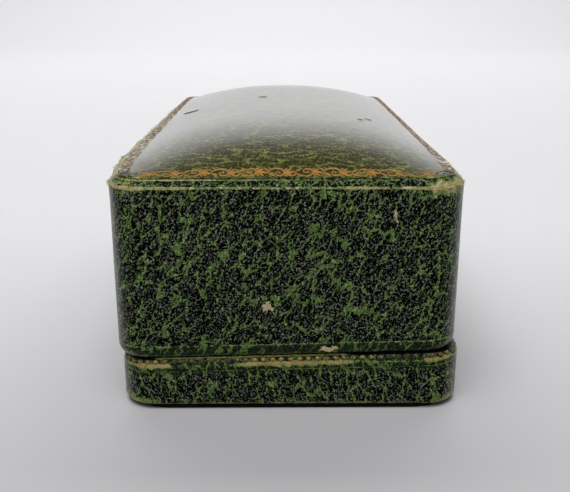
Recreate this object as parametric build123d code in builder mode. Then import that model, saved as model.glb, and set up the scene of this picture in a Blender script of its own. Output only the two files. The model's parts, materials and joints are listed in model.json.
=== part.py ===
from build123d import *

import os
from math import radians, sqrt, tan

# Ring box: a wooden case covered in leatherette, with a pillow-shaped crown, a brass frame round each rim,
# a barrel hinge along the back and a push-button catch at the front.
#
# Millimetres. +X runs along the box, +Y points to the hinge and +Z up. The lid and the base meet at a seam
# that rises a little from the front to the hinge. Heights below are from the foot of the case, which stands
# a little above the table on a thick sheet; write() adds that height, so the STEP files start at Z = 0 there.

# Outside of the case
length = 89.0
depth = 44.5
corner_radius = 4.5
seam_height = 7.1  # at the middle of the depth
seam_slope = 1.3  # degrees, up towards the hinge
seam_gap = 0.3
ridge_height = 28.9  # top of the lid's upright walls
edge_bevel = 1.0  # between those walls and the crown
lid_offset = 0.55  # the lid sits this far forward of the base

# Crown: a pillow that falls to nothing at its border
crown_step = 0.15  # its leather stands this far above the bevel
crown_rise = 4.4
crown_along = 5.5  # exponents: flat along the box, rounder across it
crown_across = 2.4

# Sheets and boards
leather = 0.4
board = 2.6
brass = 0.4
floor_board = 1.9
card = 0.8
lining = 0.5
satin_thickness = 1.5

# Edges at the seam and round the foot
rim_border = 0.9  # leather left showing outside the brass
rim_bevel_in = 0.6
rim_bevel_down = 1.1
rim_flange_depth = 2.2
board_bevel_in = 0.55
board_bevel_down = 0.9
foot_fillet = 0.8
foot_chamfer = 0.4
foot_turn_in = 3.0
foot_recess = 0.1  # the turned-in leather's underside, above the foot
stand_height = 0.7  # the sheet that the box stands on lifts the foot this far
stand_overlap = 0.2  # it laps under the turned-in leather by this much

# Ring rolls
slit = 1.0
roll_front = -17.3
roll_back = 17.9
roll_half_length = 40.7
roll_shoulder = 6.4
roll_top = 9.8

# Hinge
hinge_length = 46.0
knuckle_count = 5
knuckle_gap = 0.15
barrel_radius = 1.35
pin_radius = 0.6
running_clearance = 0.05
fit = 0.02  # round nails and rivets
base_leaf_drop = 4.4
lid_leaf_rise = 5.6
slot_half_height = 1.65
barrel_relief = 0.3
nail_radius = 0.5
nail_depth = 2.2
nail_spacing = 18.0
nail_margin = 1.2
leaf_stand_off = 1.2  # from the axis down to the base leaf's upper edge between its knuckles
pin_end = 0.2

# Push button
button_height = 3.6
button_travel = 0.8
button_head_radius = 1.3
button_head = 0.8
button_radius = 0.95
button_flange_radius = 1.15
button_flange = 0.3
bush_radius = 1.2
collar_radius = 1.75
collar = 0.25

# Catch
spring_thickness = 0.3
spring_half_length = 13.0
spring_bottom = 2.7
spring_top = 5.6
spring_rivet_margin = 1.6
spring_rivet_rise = 0.7  # above the spring's middle
spring_corner = 0.8
tab_half_width = 2.5
tab_top = 9.2
nose_bottom = 8.0
nose_reach = 0.7
nose_tip = 0.1  # left flat below the nose's slope
keeper_half_width = 4.5
keeper_bottom = 7.0
keeper_top = 10.2
window_clearance = 0.25
keeper_corner = 0.4
keeper_rivet_margin = 0.85
keeper_rivet_radius = 0.35
keeper_head_radius = 0.6
keeper_head = 0.2
rivet_radius = 0.5
rivet_head_radius = 0.85
rivet_head = 0.3
rivet_depth = 1.6

# Inside the lid
top_edge = 2.2  # thickness of the top block at its edge
lining_gap = 0.15

# Worked out from those
tall = 60.0  # more than the box's height, for cuts
wall_inset = leather + board
frame_inset = wall_inset + brass  # inner face of the brass frames
half_gap = seam_gap / 2
crease_height = ridge_height + edge_bevel
floor_top = leather + floor_board
top_underside = ridge_height - top_edge
card_underside = top_underside - card
block_bevel = edge_bevel - leather * (2 - sqrt(2))  # parallel to the bevel outside it
roll_foot = floor_top + card
slit_front = (roll_front + roll_back - slit) / 2
slit_back = slit_front + slit

button_face = -depth / 2 - collar - button_travel - button_head
hinge_y = -button_face - barrel_radius
hinge_z = seam_height + hinge_y * tan(radians(seam_slope))
hinge_room = hinge_length / 2 + barrel_relief
knuckle = (hinge_length + knuckle_gap) / knuckle_count - knuckle_gap
knuckle_middles = [(knuckle + knuckle_gap) * (i - (knuckle_count - 1) / 2) for i in range(knuckle_count)]

base_back = depth / 2 - leather  # outer face of the base's wooden back
lid_back = base_back - lid_offset
base_front = -depth / 2 + frame_inset  # inner face of the brass at the front of the base
lid_front = base_front - lid_offset
spring_back = base_front + spring_thickness
keeper_back = lid_front + brass

rivet_z = (spring_bottom + spring_top) / 2 + spring_rivet_rise
spring_rivets = [-spring_half_length + spring_rivet_margin, spring_half_length - spring_rivet_margin]
keeper_rivets = [-keeper_half_width + keeper_rivet_margin, keeper_half_width - keeper_rivet_margin]
hinge_nails = [-nail_spacing, 0, nail_spacing]
base_leaf_bottom = hinge_z - base_leaf_drop
lid_leaf_top = hinge_z + lid_leaf_rise
base_nail_z = base_leaf_bottom + nail_margin
lid_nail_z = lid_leaf_top - nail_margin

seam = Plane(origin=(0, 0, seam_height)).rotated((seam_slope, 0, 0))
base_seam = seam.offset(-half_gap)
base_board_top = seam.offset(-half_gap - brass)
lid_seam = seam.offset(half_gap)
lid_board_foot = seam.offset(half_gap + brass)
hinge_axis = Plane(origin=(0, hinge_y, hinge_z), x_dir=(0, 1, 0), z_dir=(1, 0, 0))


def base_level(height):
    """Level plane through the middle of the base."""
    return Plane(origin=(0, 0, height))


def lid_level(height):
    """Level plane through the middle of the lid."""
    return Plane(origin=(0, -lid_offset, height))


def outline(plane, inset):
    """Plan of the case, a distance inside its outer faces."""
    with BuildSketch(plane, mode=Mode.PRIVATE) as plan:
        RectangleRounded(length - 2 * inset, depth - 2 * inset, max(corner_radius - inset, 0.8))
    return plan.sketch


def hollow(plane, inset):
    """Square-cornered plan inside the wall boards."""
    with BuildSketch(plane, mode=Mode.PRIVATE) as plan:
        Rectangle(length - 2 * inset, depth - 2 * inset)
    return plan.sketch


def bar(x, y, z, mode=Mode.ADD):
    """A box between the low and high limits on each axis."""
    with Locations(((x[0] + x[1]) / 2, (y[0] + y[1]) / 2, (z[0] + z[1]) / 2)):
        Box(x[1] - x[0], y[1] - y[0], z[1] - z[0], mode=mode)


def rod(x, y, z, radius, mode=Mode.ADD):
    """A cylinder along Y between the two depths given in y."""
    with Locations(Location((x, (y[0] + y[1]) / 2, z), (90, 0, 0))):
        Cylinder(radius, y[1] - y[0], mode=mode)


def barrel(x, width, radius, mode=Mode.ADD):
    """A cylinder on the hinge's axis, centred at x."""
    with Locations(hinge_axis.offset(x)):
        Cylinder(radius, width, mode=mode)


def crown(height):
    """The crown's pillow surface with its border at a height, drawn a little past that border."""
    half_length = length / 2 - edge_bevel
    half_depth = depth / 2 - edge_bevel
    reach = 1.03
    columns, rows = 41, 25
    grid = []
    for i in range(columns):
        x = reach * half_length * (2 * i / (columns - 1) - 1)
        along = 1 - abs(x / half_length) ** crown_along
        row = []
        for j in range(rows):
            y = reach * half_depth * (2 * j / (rows - 1) - 1)
            across = 1 - abs(y / half_depth) ** crown_across
            row.append(Vector(x, y - lid_offset, height + crown_rise * along * across))
        grid.append(row)
    return Face.make_surface_from_array_of_points(grid, tol=0.002, min_deg=3, max_deg=5)


def write(part, name):
    """Labels a finished piece, stands it at its height above the table, and writes it to its STEP file."""
    placed = part.moved(Location((0, 0, stand_height)))
    placed.label = name
    export_step(placed, f"parts/{name}.step")


def write_boards(frame, name, offset):
    """Divides a frame of boards into full-length front and back boards and two ends between them."""
    inner = depth / 2 - wall_inset
    low, high = -inner - offset, inner - offset
    limits = {
        "front": ((-length, length), (-depth, low)),
        "back": ((-length, length), (high, depth)),
        "left": ((-length, 0), (low, high)),
        "right": ((0, length), (low, high)),
    }
    for side, (x, y) in limits.items():
        with BuildPart() as wall:
            add(frame)
            bar(x, y, (0, tall), mode=Mode.INTERSECT)
        write(wall.part, f"{name}_wall_{side}")


os.makedirs("parts", exist_ok=True)

# ------------------------------------------------------------------------------------------------ base

# Everything inside the base's leatherette, as one block.
with BuildPart() as base_core:
    extrude(outline(base_level(leather), leather), amount=tall)
    split(bisect_by=base_board_top, keep=Keep.BOTTOM)
    core_top = base_core.faces().sort_by(Axis.Z)[-1]
    chamfer(core_top.edges(), length=board_bevel_in, length2=board_bevel_down, reference=core_top)
    chamfer(base_core.faces().sort_by(Axis.Z)[0].edges(), length=foot_chamfer)

# Thick leatherette sheet pasted over the turned-in edges: what the box stands on.
with BuildPart() as base_underside:
    extrude(outline(base_level(-stand_height), foot_turn_in + stand_overlap), amount=stand_height + leather)
write(base_underside.part, "base_underside")

# Wooden bottom.
with BuildPart() as base_board:
    add(base_core.part)
    split(bisect_by=base_level(floor_top), keep=Keep.BOTTOM)
write(base_board.part, "base_board")

# The base's walls before anything is let into them.
with BuildPart() as base_ring:
    add(base_core.part)
    split(bisect_by=base_level(floor_top), keep=Keep.TOP)
    extrude(hollow(base_level(floor_top), wall_inset), amount=tall, mode=Mode.SUBTRACT)

# Low wooden walls, cleared for the button's bush, the rivets and the hinge.
with BuildPart() as base_walls:
    add(base_ring.part)
    rod(0, (-depth, 0), button_height, bush_radius, mode=Mode.SUBTRACT)
    for x in spring_rivets:
        rod(x, (base_front - rivet_depth, 0), rivet_z, rivet_radius + fit, mode=Mode.SUBTRACT)
    for x in hinge_nails:
        rod(x, (base_back - nail_depth, depth), base_nail_z, nail_radius + fit, mode=Mode.SUBTRACT)
    bar((-hinge_room, hinge_room), (base_back - brass, depth), (base_leaf_bottom, tall), mode=Mode.SUBTRACT)
    barrel(0, 2 * hinge_room, barrel_radius + barrel_relief, mode=Mode.SUBTRACT)
write_boards(base_walls.part, "base", 0)

# Leatherette round the base, bevelled at the rim and turned in under the bottom.
with BuildPart() as base_cover:
    extrude(outline(base_level(foot_recess), 0), amount=tall)
    split(bisect_by=base_seam, keep=Keep.BOTTOM)
    cover_top = base_cover.faces().sort_by(Axis.Z)[-1]
    chamfer(cover_top.edges(), length=rim_bevel_in, length2=rim_bevel_down, reference=cover_top)
    fillet(base_cover.faces().sort_by(Axis.Z)[0].edges(), radius=foot_fillet)
    add(base_core.part, mode=Mode.SUBTRACT)
    extrude(outline(base_level(leather), rim_border), amount=tall, mode=Mode.SUBTRACT)
    extrude(outline(base_level(0), foot_turn_in), amount=leather, mode=Mode.SUBTRACT)
    rod(0, (-depth, 0), button_height, bush_radius, mode=Mode.SUBTRACT)
    slot = (hinge_z - slot_half_height, tall)
    bar((-hinge_room, hinge_room), (base_back - board_bevel_in, depth), slot, mode=Mode.SUBTRACT)
write(base_cover.part, "base_cover")

# Brass frame on the base's rim, with a flange down inside the walls.
with BuildPart() as base_rim_frame:
    extrude(outline(base_level(floor_top), rim_border), amount=tall)
    split(bisect_by=base_seam, keep=Keep.BOTTOM)
    split(bisect_by=base_seam.offset(-rim_flange_depth), keep=Keep.TOP)
    add(base_ring.part, mode=Mode.SUBTRACT)
    extrude(hollow(base_level(0), frame_inset), amount=tall, mode=Mode.SUBTRACT)
    rod(0, (-depth, 0), button_height, button_flange_radius + barrel_relief, mode=Mode.SUBTRACT)
    for x in spring_rivets:
        rod(x, (-depth, 0), rivet_z, rivet_radius + fit, mode=Mode.SUBTRACT)
    barrel(0, 2 * hinge_room, barrel_radius + barrel_relief, mode=Mode.SUBTRACT)
write(base_rim_frame.part, "base_rim_frame")

# Card that the ring rolls are glued to.
with BuildPart() as roll_card:
    bar((-roll_half_length, roll_half_length), (roll_front, roll_back), (floor_top, roll_foot))
write(roll_card.part, "roll_card")

# Two stuffed rolls with the slit for the rings' bands between them.
for side, (low, high) in {"front": (roll_front, slit_front), "back": (slit_back, roll_back)}.items():
    with BuildPart() as roll:
        with BuildSketch(Plane.YZ.offset(-roll_half_length)):
            with BuildLine():
                Polyline((low, roll_shoulder), (low, roll_foot), (high, roll_foot), (high, roll_shoulder))
                ThreePointArc((low, roll_shoulder), ((low + high) / 2, roll_top), (high, roll_shoulder))
            make_face()
        extrude(amount=2 * roll_half_length)
    write(roll.part, f"ring_roll_{side}")

# ----------------------------------------------------------------------------------------------- hinge

# Leaf nailed to the back of the base, under the leatherette, with three of the five knuckles.
with BuildPart() as base_hinge_leaf:
    leaf_depth = (base_back - brass, base_back)
    bar((-hinge_length / 2, hinge_length / 2), leaf_depth, (base_leaf_bottom, hinge_z - leaf_stand_off))
    for x in knuckle_middles[0::2]:
        ends = (x - knuckle / 2, x + knuckle / 2)
        bar(ends, leaf_depth, (hinge_z - leaf_stand_off, hinge_z - barrel_radius / 2))
        barrel(x, knuckle, barrel_radius)
    barrel(0, 2 * hinge_length, pin_radius + running_clearance, mode=Mode.SUBTRACT)
    for x in hinge_nails:
        rod(x, (0, depth), base_nail_z, nail_radius + fit, mode=Mode.SUBTRACT)
write(base_hinge_leaf.part, "base_hinge_leaf")

# Leaf nailed to the back of the lid, bent out over the barrel to the other two knuckles.
with BuildPart() as lid_hinge_leaf:
    leaf_depth = (lid_back - brass, lid_back)
    bend = (hinge_z + barrel_radius - brass, hinge_z + barrel_radius)
    bar((-hinge_length / 2, hinge_length / 2), leaf_depth, (bend[0], lid_leaf_top))
    for x in knuckle_middles[1::2]:
        bar((x - knuckle / 2, x + knuckle / 2), (lid_back - brass, hinge_y), bend)
        barrel(x, knuckle, barrel_radius)
    barrel(0, 2 * hinge_length, pin_radius + running_clearance, mode=Mode.SUBTRACT)
    for x in hinge_nails:
        rod(x, (0, depth), lid_nail_z, nail_radius + fit, mode=Mode.SUBTRACT)
write(lid_hinge_leaf.part, "lid_hinge_leaf")

# Pin through all five knuckles.
with BuildPart() as hinge_pin:
    barrel(0, hinge_length + 2 * pin_end, pin_radius)
    fillet(hinge_pin.edges().filter_by(GeomType.CIRCLE), radius=pin_radius / 2)
write(hinge_pin.part, "hinge_pin")

# Nails through each leaf into the wood, flush under the leatherette.
for name, back, height in (("base", base_back, base_nail_z), ("lid", lid_back, lid_nail_z)):
    with BuildPart() as nails:
        for x in hinge_nails:
            rod(x, (back - nail_depth, back), height, nail_radius)
    write(nails.part, f"{name}_hinge_nails")

# ------------------------------------------------------------------------------------- button and catch

# Collared brass tube through the front of the base.
with BuildPart() as button_bush:
    rod(0, (-depth / 2, -depth / 2 + wall_inset), button_height, bush_radius)
    rod(0, (-depth / 2 - collar, -depth / 2), button_height, collar_radius)
    fillet(button_bush.faces().sort_by(Axis.Y)[0].edges(), radius=collar / 2)
    rod(0, (-depth, 0), button_height, button_radius + running_clearance, mode=Mode.SUBTRACT)
write(button_bush.part, "button_bush")

# Button, held in its bush by a flange inside the wall.
with BuildPart() as push_button:
    flange_face = -depth / 2 + wall_inset + running_clearance
    rod(0, (button_face, button_face + button_head), button_height, button_head_radius)
    fillet(push_button.faces().sort_by(Axis.Y)[0].edges(), radius=button_head / 2)
    rod(0, (button_face + button_head, flange_face), button_height, button_radius)
    rod(0, (flange_face, base_front - running_clearance), button_height, button_flange_radius)
write(push_button.part, "push_button")

# Leaf spring across the inside of the front, with a tab that hooks into the lid's keeper.
with BuildPart() as catch_spring:
    bar((-spring_half_length, spring_half_length), (base_front, spring_back), (spring_bottom, spring_top))
    fillet(catch_spring.edges().filter_by(Axis.Y), radius=spring_corner)
    bar((-tab_half_width, tab_half_width), (base_front, spring_back), (spring_top, tab_top))
    bar((-tab_half_width, tab_half_width), (base_front - nose_reach, base_front), (nose_bottom, tab_top))
    nose_edge = catch_spring.edges().filter_by(Axis.X).sort_by(Axis.Y).group_by(Axis.Y)[0].sort_by(Axis.Z)[-1]
    chamfer(nose_edge, length=nose_reach - nose_tip)
    for x in spring_rivets:
        rod(x, (-depth, 0), rivet_z, rivet_radius + fit, mode=Mode.SUBTRACT)
write(catch_spring.part, "catch_spring")

# Round-headed rivets that hold the spring to the front wall.
with BuildPart() as catch_rivets:
    for x in spring_rivets:
        rod(x, (base_front - rivet_depth, spring_back), rivet_z, rivet_radius)
        rod(x, (spring_back, spring_back + rivet_head), rivet_z, rivet_head_radius)
    fillet(catch_rivets.faces().sort_by(Axis.Y)[-2:].edges(), radius=rivet_head / 2)
write(catch_rivets.part, "catch_rivets")

# ------------------------------------------------------------------------------------------------- lid

# Everything inside the lid's leatherette below the crown, as one block.
with BuildPart() as lid_core:
    extrude(outline(lid_level(0), leather), amount=crease_height - leather)
    chamfer(lid_core.faces().sort_by(Axis.Z)[-1].edges(), length=block_bevel)
    split(bisect_by=lid_board_foot, keep=Keep.TOP)
    core_foot = lid_core.faces().sort_by(Axis.Z)[0]
    chamfer(core_foot.edges(), length=board_bevel_in, length2=board_bevel_down, reference=core_foot)

# Wooden block under the crown, flat below.
with BuildPart() as pillow:
    extrude(outline(lid_level(top_underside), leather + block_bevel), amount=tall)
    split(bisect_by=crown(crease_height - leather), keep=Keep.BOTTOM)
with BuildPart() as lid_top_block:
    add(lid_core.part)
    split(bisect_by=lid_level(top_underside), keep=Keep.TOP)
    add(pillow.part)
write(lid_top_block.part, "lid_top_block")

# The lid's walls before anything is let into them.
with BuildPart() as lid_ring:
    add(lid_core.part)
    split(bisect_by=lid_level(top_underside), keep=Keep.BOTTOM)
    extrude(hollow(lid_level(0), wall_inset), amount=tall, mode=Mode.SUBTRACT)

# Wooden walls, cleared for the rivets and the hinge.
with BuildPart() as lid_walls:
    add(lid_ring.part)
    for x in keeper_rivets:
        rod(x, (lid_front - rivet_depth, 0), nose_bottom, keeper_rivet_radius + fit, mode=Mode.SUBTRACT)
    for x in hinge_nails:
        rod(x, (lid_back - nail_depth, depth), lid_nail_z, nail_radius + fit, mode=Mode.SUBTRACT)
    bar((-hinge_room, hinge_room), (lid_back - brass, depth), (0, lid_leaf_top), mode=Mode.SUBTRACT)
    barrel(0, 2 * hinge_room, barrel_radius + barrel_relief, mode=Mode.SUBTRACT)
write_boards(lid_walls.part, "lid", lid_offset)

# Leatherette up the walls and over the ridge to the crown's border.
with BuildPart() as lid_wall_cover:
    extrude(outline(lid_level(0), 0), amount=crease_height)
    chamfer(lid_wall_cover.faces().sort_by(Axis.Z)[-1].edges(), length=edge_bevel)
    split(bisect_by=lid_seam, keep=Keep.TOP)
    cover_foot = lid_wall_cover.faces().sort_by(Axis.Z)[0]
    chamfer(cover_foot.edges(), length=rim_bevel_in, length2=rim_bevel_down, reference=cover_foot)
    add(lid_core.part, mode=Mode.SUBTRACT)
    extrude(outline(lid_level(0), rim_border), amount=ridge_height / 2, mode=Mode.SUBTRACT)
    extrude(outline(lid_level(0), edge_bevel), amount=tall, mode=Mode.SUBTRACT)
    slot = (0, hinge_z + slot_half_height)
    bar((-hinge_room, hinge_room), (lid_back - board_bevel_in, depth), slot, mode=Mode.SUBTRACT)
write(lid_wall_cover.part, "lid_wall_cover")

# Separate sheet over the crown, cut off square at its border.
with BuildPart() as lid_top_cover:
    extrude(outline(lid_level(ridge_height), edge_bevel), amount=tall)
    split(bisect_by=crown(crease_height + crown_step), keep=Keep.BOTTOM)
    add(lid_top_block.part, mode=Mode.SUBTRACT)
write(lid_top_cover.part, "lid_top_cover")

# Brass frame on the lid's rim, with a flange up inside the walls and a gap for the catch.
window = (-tab_half_width - window_clearance, tab_half_width + window_clearance)
window_height = (nose_bottom - window_clearance, tab_top + window_clearance)
with BuildPart() as lid_rim_frame:
    extrude(outline(lid_level(0), rim_border), amount=tall)
    split(bisect_by=lid_seam, keep=Keep.TOP)
    split(bisect_by=lid_seam.offset(rim_flange_depth), keep=Keep.BOTTOM)
    add(lid_ring.part, mode=Mode.SUBTRACT)
    extrude(hollow(lid_level(0), frame_inset), amount=tall, mode=Mode.SUBTRACT)
    bar(window, (-depth / 2, 0), window_height, mode=Mode.SUBTRACT)
    for x in keeper_rivets:
        rod(x, (-depth, 0), nose_bottom, keeper_rivet_radius + fit, mode=Mode.SUBTRACT)
    barrel(0, 2 * hinge_room, barrel_radius + barrel_relief, mode=Mode.SUBTRACT)
write(lid_rim_frame.part, "lid_rim_frame")

# Keeper plate with the window that the catch hooks into.
with BuildPart() as catch_keeper:
    bar((-keeper_half_width, keeper_half_width), (lid_front, keeper_back), (keeper_bottom, keeper_top))
    fillet(catch_keeper.edges().filter_by(Axis.Y), radius=keeper_corner)
    bar(window, (-depth, 0), window_height, mode=Mode.SUBTRACT)
    for x in keeper_rivets:
        rod(x, (-depth, 0), nose_bottom, keeper_rivet_radius + fit, mode=Mode.SUBTRACT)
write(catch_keeper.part, "catch_keeper")

# Two small rivets through the keeper and the frame.
with BuildPart() as keeper_pins:
    for x in keeper_rivets:
        rod(x, (lid_front - rivet_depth, keeper_back), nose_bottom, keeper_rivet_radius)
        rod(x, (keeper_back, keeper_back + keeper_head), nose_bottom, keeper_head_radius)
    fillet(keeper_pins.faces().sort_by(Axis.Y)[-2:].edges(), radius=keeper_head / 2)
write(keeper_pins.part, "keeper_rivets")

# Satin round the inside of the walls, cut away round the keeper.
with BuildPart() as lid_lining:
    extrude(hollow(lid_level(0), wall_inset), amount=top_underside)
    extrude(hollow(lid_level(0), wall_inset + lining), amount=top_underside, mode=Mode.SUBTRACT)
    split(bisect_by=lid_seam.offset(rim_flange_depth + lining_gap), keep=Keep.TOP)
    cut = keeper_half_width + lining_gap
    bar((-cut, cut), (-depth, 0), (0, keeper_top + lining_gap), mode=Mode.SUBTRACT)
write(lid_lining.part, "lid_lining")

# Card and puffed satin pad under the lid's top.
with BuildPart() as lid_pad_card:
    extrude(hollow(lid_level(card_underside), wall_inset + lining + lining_gap), amount=card)
write(lid_pad_card.part, "lid_pad_card")

with BuildPart() as lid_satin_pad:
    extrude(hollow(lid_level(card_underside), wall_inset + lining + 2 * lining_gap), amount=-satin_thickness)
    fillet(lid_satin_pad.faces().sort_by(Axis.Z)[0].edges(), radius=satin_thickness / 2)
write(lid_satin_pad.part, "lid_satin_pad")
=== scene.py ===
import bisect
import json
import math
import random

import bmesh
import bpy
import numpy as np
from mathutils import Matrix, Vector, noise


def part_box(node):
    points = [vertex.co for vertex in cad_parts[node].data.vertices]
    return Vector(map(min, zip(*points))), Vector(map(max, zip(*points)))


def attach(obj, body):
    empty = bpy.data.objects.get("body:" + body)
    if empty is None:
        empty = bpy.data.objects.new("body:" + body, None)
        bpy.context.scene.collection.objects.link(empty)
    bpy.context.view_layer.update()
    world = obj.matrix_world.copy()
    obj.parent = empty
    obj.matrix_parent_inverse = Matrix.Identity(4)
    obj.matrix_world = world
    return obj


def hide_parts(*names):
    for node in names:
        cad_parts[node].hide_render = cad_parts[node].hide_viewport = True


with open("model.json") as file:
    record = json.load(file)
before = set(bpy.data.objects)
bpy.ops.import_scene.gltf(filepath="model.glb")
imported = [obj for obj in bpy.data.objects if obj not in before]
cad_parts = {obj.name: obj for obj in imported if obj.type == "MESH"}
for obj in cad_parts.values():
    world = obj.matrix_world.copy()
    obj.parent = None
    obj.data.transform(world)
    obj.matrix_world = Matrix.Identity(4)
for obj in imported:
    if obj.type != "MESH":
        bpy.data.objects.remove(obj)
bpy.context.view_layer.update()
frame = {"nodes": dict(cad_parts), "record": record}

# A ring box: leatherette over board, with a gilt scroll border on its crown and gilt beads round its rim.
# Lengths are in metres, and MM turns millimetres into them. The CAD gives every place.

MM = 0.001
RNG = random.Random(7)

# ------------------------------ the frame

LID_LOW, LID_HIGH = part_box("lid_wall_cover")
BASE_LOW, BASE_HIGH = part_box("base_cover")
CROWN_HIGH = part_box("lid_top_cover")[1]
HALF_LENGTH = BASE_HIGH.x
HALF_DEPTH = (BASE_HIGH.y - BASE_LOW.y) / 2
LID_Y = (LID_LOW.y + LID_HIGH.y) / 2
CORNER = 4.5 * MM                       # radius of the upright corners
BEVEL = HALF_LENGTH - CROWN_HIGH.x      # the lid's bevel, as tall as it is wide
CREASE_Z = LID_HIGH.z                   # where the bevel meets the crown
RIDGE_Z = CREASE_Z - BEVEL              # where the wall meets the bevel
FOOT_Z = BASE_LOW.z - 0.3 * MM
HEEL_Z = FOOT_Z + 0.05 * MM             # underside of the base's leatherette
HINGE = Vector(next(j["pos_m"] for j in frame["record"]["behaviour"]["joints"] if j["name"] == "lid_hinge"))
SLOT_HALF_LENGTH, SLOT_HALF_HEIGHT, SLOT_REACH = 23.5 * MM, 1.65 * MM, 1.5 * MM
SEAM_SLOPE = math.tan(math.radians(1.3))
HALF_GAP = 0.15 * MM
BRASS_SEAT = HALF_GAP + 0.06 * MM       # from the seam's middle to the brass under the leatherette
SEAM_Z = BASE_HIGH.z + HALF_GAP - (HALF_DEPTH - 0.6 * MM) * SEAM_SLOPE
CROWN_STEP = 0.15 * MM
CROWN_RISE = CROWN_HIGH.z - CREASE_Z - CROWN_STEP
CROWN_ALONG, CROWN_ACROSS = 5.5, 2.4    # powers of the crown's curves: the higher, the flatter its middle
RIM_IN, RIM_DOWN = 0.6 * MM, 1.1 * MM   # the bevel of the base's rim
SKIN = 0.3 * MM                         # thickness of the leatherette
RIPPLE = 0.03 * MM                      # how far it lies out of true
SMOOTH_EDGE = 0.25 * MM                 # how far tooling's pressed band fades out


def seam_z(y):
    """Height of the middle of the seam at a depth."""
    return SEAM_Z + y * SEAM_SLOPE


def seat_z(y, body):
    """Height of the brass that the leatherette of the lid or the base starts from."""
    return seam_z(y) + BRASS_SEAT * (1 if body == "lid" else -1)


def crown_z(x, y):
    """Height of the crown's leather at a place, y from the lid's middle."""
    along = 1 - abs(x / (HALF_LENGTH - BEVEL)) ** CROWN_ALONG
    across = 1 - abs(y / (HALF_DEPTH - BEVEL)) ** CROWN_ACROSS
    return CREASE_Z + CROWN_STEP + CROWN_RISE * along * across


# ------------------------------ outlines and meshes

def clamp(value):
    """The value, kept between 0 and 1."""
    return min(1.0, max(0.0, value))


def walk(start, legs, radius, side, spacing, arc_spacing):
    """Points round a rounded rectangle, as (x, y, normal x, normal y, distance round), and the whole distance.

    It starts along +X. legs are the lengths of its straight runs, and 0 is a quarter turn, to the left if side
    is 1 and to the right if it is -1. Places and directions are complex numbers here, x + yj.
    """
    place, ahead, found, travelled = complex(*start), 1 + 0j, [], 0.0
    for leg in legs:
        out = ahead * -1j * side
        run = leg or radius * math.pi / 2
        steps = round(run / (spacing if leg else arc_spacing))
        for i in range(steps):
            point, normal = place + ahead * run * i / steps, out
            if not leg:
                turn = math.pi / 2 * i / steps
                normal = out * math.cos(turn) + ahead * math.sin(turn)
                point = place + (normal - out) * radius
            found.append((point.real, point.imag, normal.real, normal.imag, travelled + run * i / steps))
        place += ahead * run if leg else (ahead - out) * radius
        ahead *= 1 if leg else 1j * side
        travelled += run
    return found, travelled


def stations(spacing):
    """Points round the case's outline, as walk gives them, from the middle of the back towards +X."""
    run_x, run_y = HALF_LENGTH - CORNER, 2 * (HALF_DEPTH - CORNER)
    legs = [run_x, 0, run_y, 0, 2 * run_x, 0, run_y, 0, run_x]
    return walk((0, HALF_DEPTH), legs, CORNER, -1, spacing, spacing / 2)


def grid(columns, rows, closed=True):
    """Faces over columns of points, the last column joined to the first if closed."""
    faces = []
    for i in range(columns if closed else columns - 1):
        here, there = i * rows, (i + 1) % columns * rows
        faces += [(here + k, here + k + 1, there + k + 1, there + k) for k in range(rows - 1)]
    return faces


def tube(first, size, rings):
    """Faces between rings of size points each, numbered from first."""
    return [(a + k, a + (k + 1) % size, a + (k + 1) % size + size, a + k + size)
            for a in range(first, first + (rings - 1) * size, size) for k in range(size)]


def new_object(name, data):
    """A new object in the scene."""
    made = bpy.data.objects.new(name, data)
    bpy.context.scene.collection.objects.link(made)
    return made


def new_mesh(name, vertices, faces, material=None):
    """A new mesh, smooth-shaded if it has a material."""
    mesh = bpy.data.meshes.new(name)
    mesh.from_pydata([tuple(v) for v in vertices], [], faces)
    if material:
        mesh.polygons.foreach_set("use_smooth", [True] * len(mesh.polygons))
        mesh.materials.append(material)
    return mesh


def mesh_object(name, vertices, faces, body, material, **attributes):
    """A smooth-shaded piece on a CAD body, with a number for every point in each attribute."""
    piece = new_object(name, new_mesh(name, vertices, faces, material))
    for key, values in attributes.items():
        attribute = piece.data.attributes.new(key, "FLOAT", "POINT")
        attribute.data.foreach_set("value", np.array(values, np.float32))
    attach(piece, body)
    return piece


def distances(profile, body):
    """How far along a profile each of its points is, at the middle of the box."""
    points = [(inset, follow * seat_z(0, body) + height) for inset, follow, height in profile]
    down = [0.0]
    for (a, b), (c, d) in zip(points, points[1:]):
        down.append(down[-1] + math.hypot(c - a, d - b))
    return down


def sweep(name, profile, body, material, wear, smooth, ripple=None, lift=None):
    """Sweeps a profile round the case's outline, and gives it a skin's thickness.

    A profile point is (inset, follow, height), and lies follow * seat_z(y, body) + height high at the depth y.
    The fifth argument, a function of (x, y, down), gives how worn a point is, and below 0 how far it is painted
    black as shade, where down is its distance along the profile. Tooling has pressed the grain flat as far down as
    smooth. ripple is a layer and a seed of noise that moves the skin in and out a little, and lift(x, y, z) moves
    a point to where damage has left it.
    """
    around, _ = stations(0.6 * MM)
    centre_y = LID_Y if body == "lid" else 0.0
    down = distances(profile, body)
    tooled = [clamp(1 + (smooth - d) / SMOOTH_EDGE) for d in down]
    vertices, worn = [], []
    for x, y, nx, ny, s in around:
        for d, (inset, follow, height) in zip(down, profile):
            if ripple:
                inset += RIPPLE * drift(s / MM, d / MM, ripple[0], scale=0.12, seed=ripple[1])
            px, py = x - nx * inset, y - ny * inset
            place = (px, py, follow * seat_z(py, body) + height)
            place = lift(*place) if lift else place
            vertices.append((place[0], place[1] + centre_y, place[2]))
            worn.append(wear(px, py, d))
    rising = vertices[len(profile) - 1][2] > vertices[0][2]
    faces = [quad if rising else quad[::-1] for quad in grid(len(around), len(profile))
             if not in_hinge_slot([vertices[v] for v in quad])]
    skin = mesh_object(name, vertices, faces, body, material, wear=worn, tooled=tooled * len(around))
    drop_loose(skin)
    thicken(skin, SKIN)
    return skin


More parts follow.
